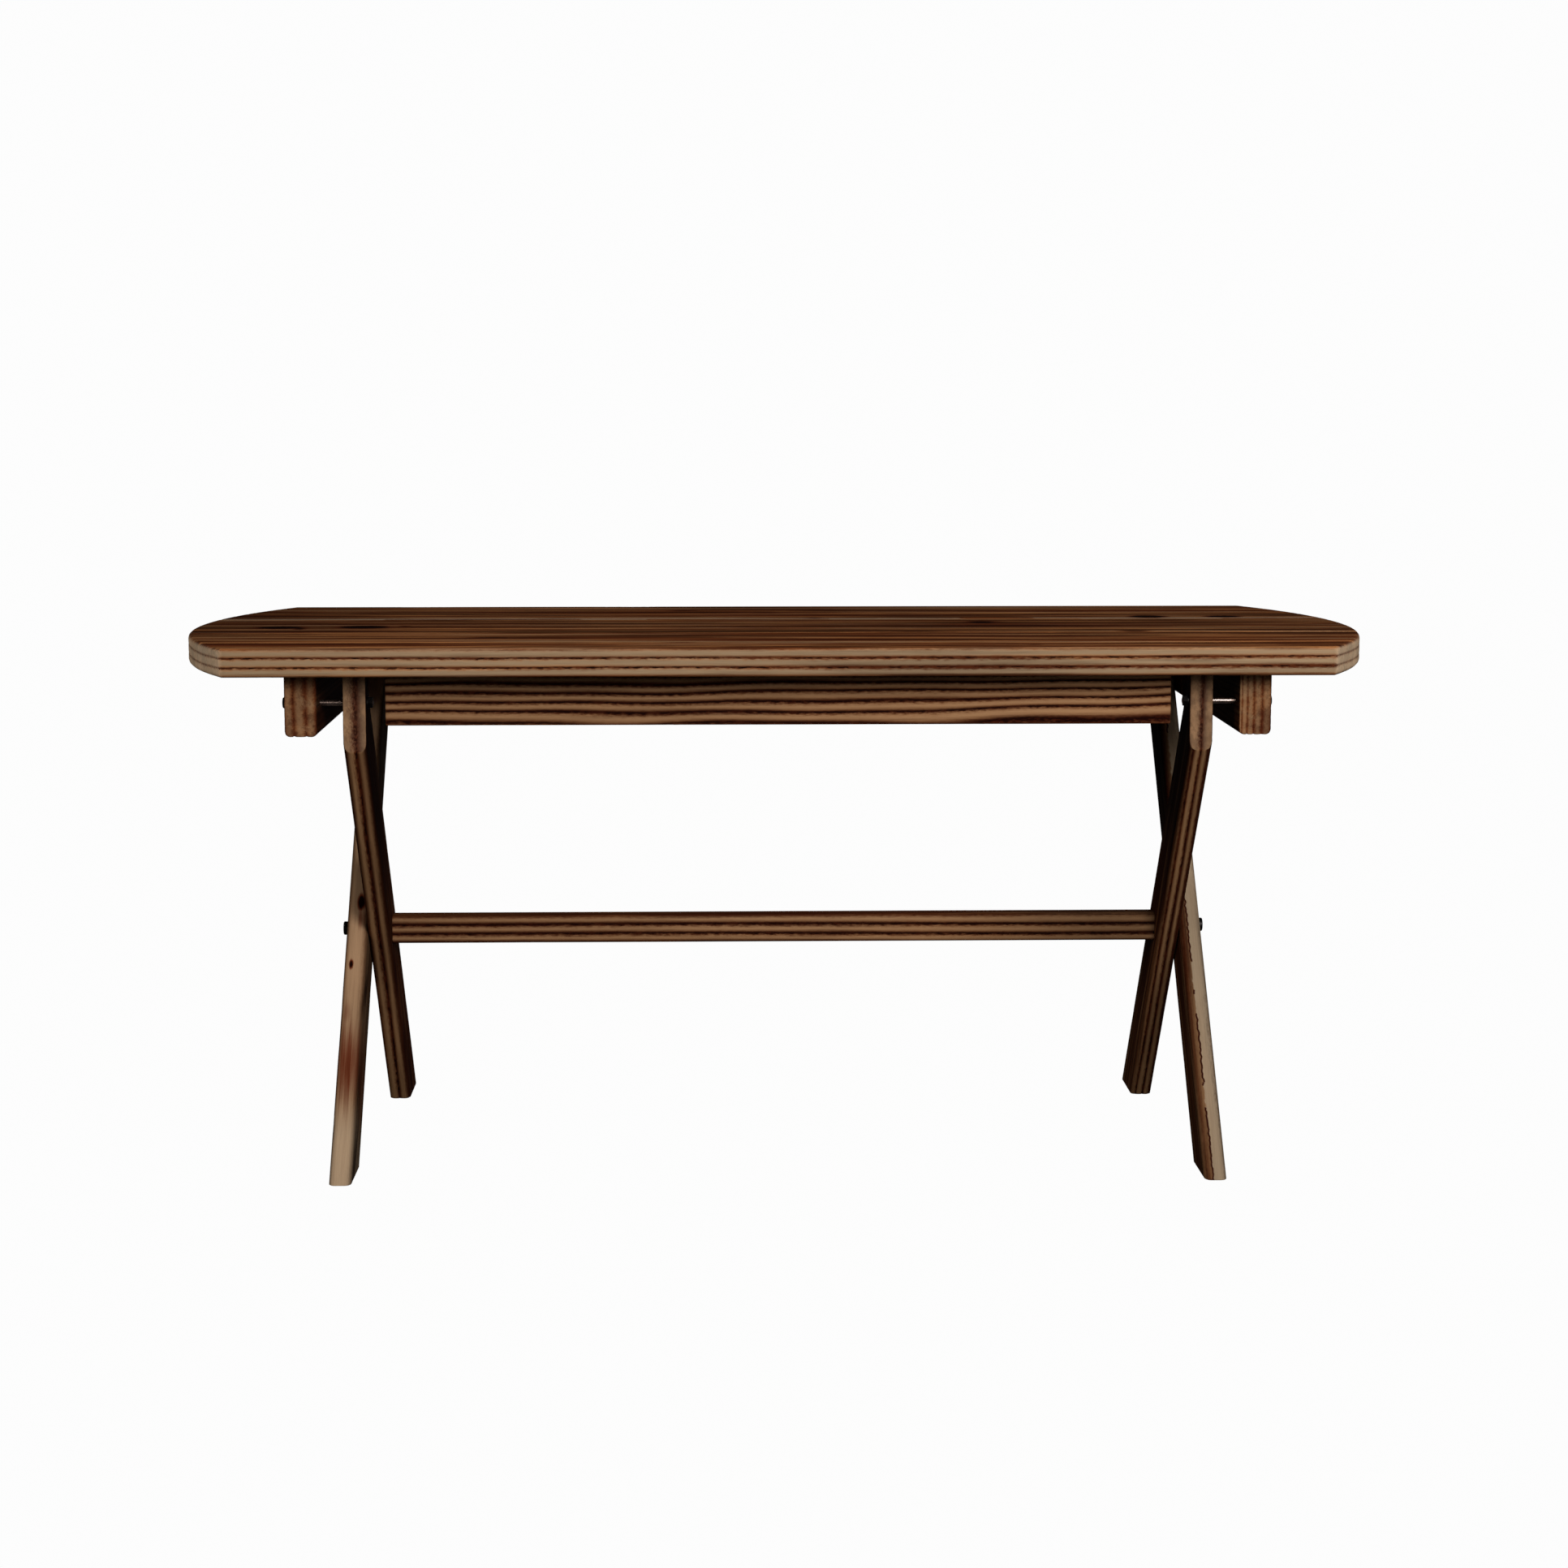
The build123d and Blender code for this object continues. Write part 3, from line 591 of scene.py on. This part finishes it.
def rail():
    low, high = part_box("front_rail")
    middle = [(a + b) / 2 for a, b in zip(low, high)]
    points, faces = bar_surface(
        high[0] - low[0], high[1] - low[1], high[2] - low[2],
        (3 * MM, 1.8 * MM, 1.3 * MM), 0.6 * MM, RAIL_FOOT_ROUND,
    )
    piece = mesh_object("wood_front_rail", points + np.array(middle), faces)
    cut(piece, [bore(x, middle[1], low[2]) for x in RAIL_SCREW_PLACES])
    points, normals = read(piece)
    x, y, z = points.T
    # The rings rise towards the right end and crowd together under the boards.
    share = np.clip((z - low[2]) / (high[2] - low[2]), 0, 1)
    ring = RAIL_RINGS * share ** (1.25 + 0.6 * np.clip((x - 0.15) / 0.36, 0, 1) ** 1.5)
    ring = ring + 0.10 * drift(points, (0.22, 0.2, 0.03), 303)
    side_ring = y / RAIL_SIDE_RINGS + 0.3 * drift(points, (0.3, 0.05, 0.05), 304)
    rings = [(ring, (0, 0, 1), 1.6 * MM), (side_ring, (0, 1, 0), 0.2 * MM)]
    # Painted shade and light: darker towards the top, in the shade of the boards, and lighter towards
    # the right end, nearer the lamps.
    tone = (1.10 - 0.22 * share) * (1 + 0.25 * np.clip((x + 0.1) / 0.5, 0, 1))
    carve(piece, points, normals, rings, 301, 0.0, tone)
    finish_wood(piece, "front_rail", "top", RAIL_WOOD)


rail()


def stretcher():
    low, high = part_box("stretcher")
    middle = [(a + b) / 2 for a, b in zip(low, high)]
    points, faces = bar_surface(
        high[0] - low[0], high[1] - low[1], high[2] - low[2],
        (3 * MM, 1.6 * MM, 1.3 * MM), STRETCHER_ROUND, None, 0.6 * MM,
    )
    piece = mesh_object("wood_stretcher", points + np.array(middle), faces)
    points, normals = read(piece)
    x, y, z = points.T
    ring = (z - low[2]) / STRETCHER_RINGS + 0.06 * drift(points, (0.3, 0.2, 0.05), 401)
    side_ring = y / STRETCHER_SIDE_RINGS + 0.3 * drift(points, (0.3, 0.05, 0.05), 402)
    rings = [(ring, (0, 0, 1), 1.0 * MM), (side_ring, (0, 1, 0), 0.2 * MM)]
    # Painted shadow: darker towards the right end, where the right inner leg casts its shadow.
    tone = 1.32 - 0.72 * np.clip((x - 0.2) / 0.25, 0, 1)
    carve(piece, points, normals, rings, 403, 0.0, tone)
    finish_wood(piece, "stretcher", "inner_legs", RAIL_WOOD)


stretcher()


# ---- legs ------------------------------------------------------------------------------
def leg(node, body, top_end, material, seed, grooves, depth, side_rings, painted_side_shade, marks):
    """top_end is -1 for a leg that leans to the front, 1 to the rear.

    grooves gives the grooves' spacing on the narrow faces and the place of one of them.
    side_rings is the spacing on the wide faces and painted_side_shade darkens them.  marks takes the
    leg's own coordinates and its tongue, and returns the knots, the bleaching and the tone.
    The tongue is 1 on the upright face under the top, 0 elsewhere."""
    low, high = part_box(node)
    sine, cosine = math.sin(LEG_LEAN), math.cos(LEG_LEAN)
    thickness = high[0] - low[0]
    middle_x = (low[0] + high[0]) / 2
    points, faces = bar_surface(
        LEG_BAR_LENGTH, thickness, LEG_WIDTH, (3 * MM, 1.2 * MM, 1.6 * MM), LEG_ROUND, None, 1.2 * MM
    )
    u, v, w = points.T
    foot = (w * sine - CROSSING_Z) / cosine
    head = np.minimum((high[2] - CROSSING_Z + w * sine) / cosine, (LEG_END_Y - w * cosine) / sine)
    u = foot + (head - foot) * (u / LEG_BAR_LENGTH + 0.5)
    y = top_end * (u * sine + w * cosine)
    placed = np.stack([v + middle_x, y, CROSSING_Z + u * cosine - w * sine], axis=1)
    piece = mesh_object("wood_" + node, placed, faces if top_end > 0 else faces[:, ::-1])
    points, normals = read(piece)
    local = np.stack([u, v, w], axis=1)
    n_u = top_end * normals[:, 1] * sine + normals[:, 2] * cosine
    n_w = top_end * normals[:, 1] * cosine - normals[:, 2] * sine
    local_normals = np.stack([n_u, normals[:, 0], n_w], axis=1)
    tongue = np.clip((np.abs(normals[:, 1]) - 0.84) / 0.08, 0, 1)
    spacing = grooves[0] * (1 + tongue)
    ring = (v - grooves[1]) / spacing + 0.05 * drift(local, (0.2, 0.1, 0.1), seed)
    side_ring = w / side_rings + 0.5 * drift(local, (0.3, 0.05, 0.05), seed + 5)
    rings = [(ring, (0, 1, 0), depth), (side_ring, (0, 0, 1), 0.3 * MM)]
    # Painted shade: the wide side faces are darkened, and more so up under the top.
    painted_shade_under_top = np.clip(u / 0.25, 0, 1)
    tone = 1 + 0.08 * drift(local, (0.15, 0.1, 0.05), seed + 8)
    tone *= 1 - (painted_side_shade + (0.85 - painted_side_shade) * painted_shade_under_top) * normals[:, 0] ** 2
    knots, pale, change = marks(local, tongue)
    carve(piece, local, local_normals, rings, seed, knots, tone * change, pale)
    finish_wood(piece, node, body, material)


def inner_left_marks(local, tongue):
    """A lighter leg, its upright end a little paler again."""
    return 0.0, 0.15 * tongue, 1.1 + 0.15 * tongue


def inner_right_marks(local, tongue):
    """A slightly darker leg, its upright end paler."""
    return 0.0, 0.15 * tongue, 0.95 + 0.05 * tongue


def outer_left_marks(local, tongue):
    """Knots near the crossing, two soft reddened patches below it and a bleached foot."""
    u, v = local[:, 0], local[:, 1]
    knots = spots(u, v, [
        (18, 4, 16, 7, 1.15), (84, 0, 30, 9, 0.5), (-82, -5, 9, 4, 1.0), (-8, 6, 30, 9, 0.6),
        (-160, -6, 36, 12, 0.5), (-236, 0, 96, 40, 0.65),
    ])
    bleached = 0.55 * np.clip((-u - 0.29) / 0.05, 0, 1)
    # Painted shade: the leg is made a little darker above the crossing, where the inner leg shades it.
    return knots, bleached, 1.06 - 0.04 * np.clip((u + 0.06) / 0.12, 0, 1)


def outer_right_marks(local, tongue):
    """Sapwood: the outer half is almost bare of stain, with a ragged border."""
    border = -4 * MM + 0.5 * MM * drift(local, (8 * MM, 1.0, 1.0), 516)
    beyond = local[:, 1] - border
    line = 0.85 * np.exp(-((beyond / (1.7 * MM)) ** 2))
    line *= drift(local, (30 * MM, 1.0, 1.0), 517) > -0.7
    stained = np.clip(0.5 - beyond / (0.8 * MM), 0, 1)
    return line, 0.80 * (1 - stained), 0.84


leg(
    "inner_leg_left", "inner_legs", -1, LEG_WOOD, seed=501, grooves=(15 * MM, 1 * MM),
    depth=1.3 * MM, side_rings=18 * MM, painted_side_shade=0.35, marks=inner_left_marks,
)
leg(
    "inner_leg_right", "inner_legs", -1, LEG_WOOD, seed=502, grooves=(10 * MM, 1 * MM),
    depth=1.3 * MM, side_rings=11 * MM, painted_side_shade=0.0, marks=inner_right_marks,
)
leg(
    "outer_leg_left", "outer_leg_left", 1, SMOOTH_LEG_WOOD, seed=503, grooves=(44 * MM, 22 * MM),
    depth=0.4 * MM, side_rings=24 * MM, painted_side_shade=0.65, marks=outer_left_marks,
)
leg(
    "outer_leg_right", "outer_leg_right", 1, LEG_WOOD, seed=504, grooves=(34 * MM, -17 * MM),
    depth=0.9 * MM, side_rings=16 * MM, painted_side_shade=0.15, marks=outer_right_marks,
)


# ---- fastenings ------------------------------------------------------------------------
# The steel's pink-brown tint is painted reflection of the wood around it.
STEEL = metal("steel", colour(186, 160, 146), 0.28, head=colour(14, 11, 10), head_x=PIVOT_HEAD_X)
BLACK = metal("black_steel", colour(22, 18, 16), 0.42, metallic=0.8)
ZINC = metal("zinc_steel", colour(150, 150, 148), 0.38)
BEECH = dowel_wood()

for node_name, node_object in frame["nodes"].items():
    if node_name.startswith("pivot_bolt"):
        finish = STEEL
    elif node_name.startswith(("crossing_bolt", "pivot_nut", "pivot_washer")):
        finish = BLACK
    elif "dowels" in node_name:
        finish = BEECH
    else:
        finish = ZINC
    if not node_object.hide_render:
        node_object.data.materials.clear()
        node_object.data.materials.append(finish)


# ---- room, light and camera ------------------------------------------------------------
PAPER_WHITE = 0.98
FLOOR_REACH = 30.0
SKY_LIGHT = 0.03
CAMERA_PLACE = (-0.0934, -4.2561, 1.0528)
CAMERA_TILT = 82.55
CAMERA_TURN = -1.44


def floor():
    """A plain white floor that takes no part in the lighting or the reflections."""
    mesh = bpy.data.meshes.new("floor")
    signs = ((-1, -1), (1, -1), (1, 1), (-1, 1))
    corners = [(x * FLOOR_REACH, y * FLOOR_REACH, 0) for x, y in signs]
    mesh.from_pydata(corners, [], [(0, 1, 2, 3)])
    piece = bpy.data.objects.new("floor", mesh)
    bpy.context.scene.collection.objects.link(piece)
    n = Nodes("pale_floor")
    glow = n.add("ShaderNodeEmission", {"Color": (1, 1, 1, 1), "Strength": PAPER_WHITE}).outputs[0]
    n.add("ShaderNodeOutputMaterial", {"Surface": glow})
    mesh.materials.append(n.material)
    piece.visible_diffuse = False
    piece.visible_glossy = False


def area_light(name, place, target, size, power, mirrored=True):
    """A round light at place, facing target.  mirrored lets it show in reflections."""
    data = bpy.data.lights.new(name, "AREA")
    data.shape = "DISK"
    data.size = size
    data.energy = power
    light = bpy.data.objects.new(name, data)
    light.location = place
    aim = np.array(target) - np.array(place)
    light.rotation_euler = (
        math.atan2(math.hypot(aim[0], aim[1]), -aim[2]),
        0,
        math.atan2(aim[1], aim[0]) - math.pi / 2,
    )
    light.visible_glossy = mirrored
    bpy.context.scene.collection.objects.link(light)


def world():
    """White behind everything for the camera, and a faint even light for the rest."""
    sky = bpy.data.worlds.new("studio")
    bpy.context.scene.world = sky
    sky.use_nodes = True
    tree = sky.node_tree
    tree.nodes.clear()
    path = tree.nodes.new("ShaderNodeLightPath")
    seen = tree.nodes.new("ShaderNodeBackground")
    seen.inputs["Strength"].default_value = PAPER_WHITE
    seen.inputs["Color"].default_value = (1, 1, 1, 1)
    lit = tree.nodes.new("ShaderNodeBackground")
    lit.inputs["Color"].default_value = (1, 1, 1, 1)
    lit.inputs["Strength"].default_value = SKY_LIGHT
    choose = tree.nodes.new("ShaderNodeMixShader")
    out = tree.nodes.new("ShaderNodeOutputWorld")
    tree.links.new(path.outputs["Is Camera Ray"], choose.inputs[0])
    tree.links.new(lit.outputs[0], choose.inputs[1])
    tree.links.new(seen.outputs[0], choose.inputs[2])
    tree.links.new(choose.outputs[0], out.inputs[0])


floor()
world()
area_light("key", (0.9, -3.2, 1.75), (0.2, 0, 0.5), 1.2, 90)
area_light("front", (0.3, -4.6, 1.2), (0, 0, 0.5), 1.2, 15)
area_light("back", (0.3, 4.2, 0.45), (0, 0, 0.40), 1.6, 34, mirrored=False)
area_light("left", (-3.0, -1.6, 1.5), (-0.3, 0, 0.5), 1.5, 26, mirrored=False)
area_light("right", (3.4, 0.6, 1.3), (0.7, 0, 0.5), 1.5, 16, mirrored=False)

camera_data = bpy.data.cameras.new("camera")
camera_data.lens = 70
camera_data.sensor_width = 36
camera = bpy.data.objects.new("camera", camera_data)
camera.location = CAMERA_PLACE
camera.rotation_euler = (math.radians(CAMERA_TILT), 0, math.radians(CAMERA_TURN))
bpy.context.scene.collection.objects.link(camera)
bpy.context.scene.camera = camera
bpy.context.scene.view_settings.view_transform = "Standard"
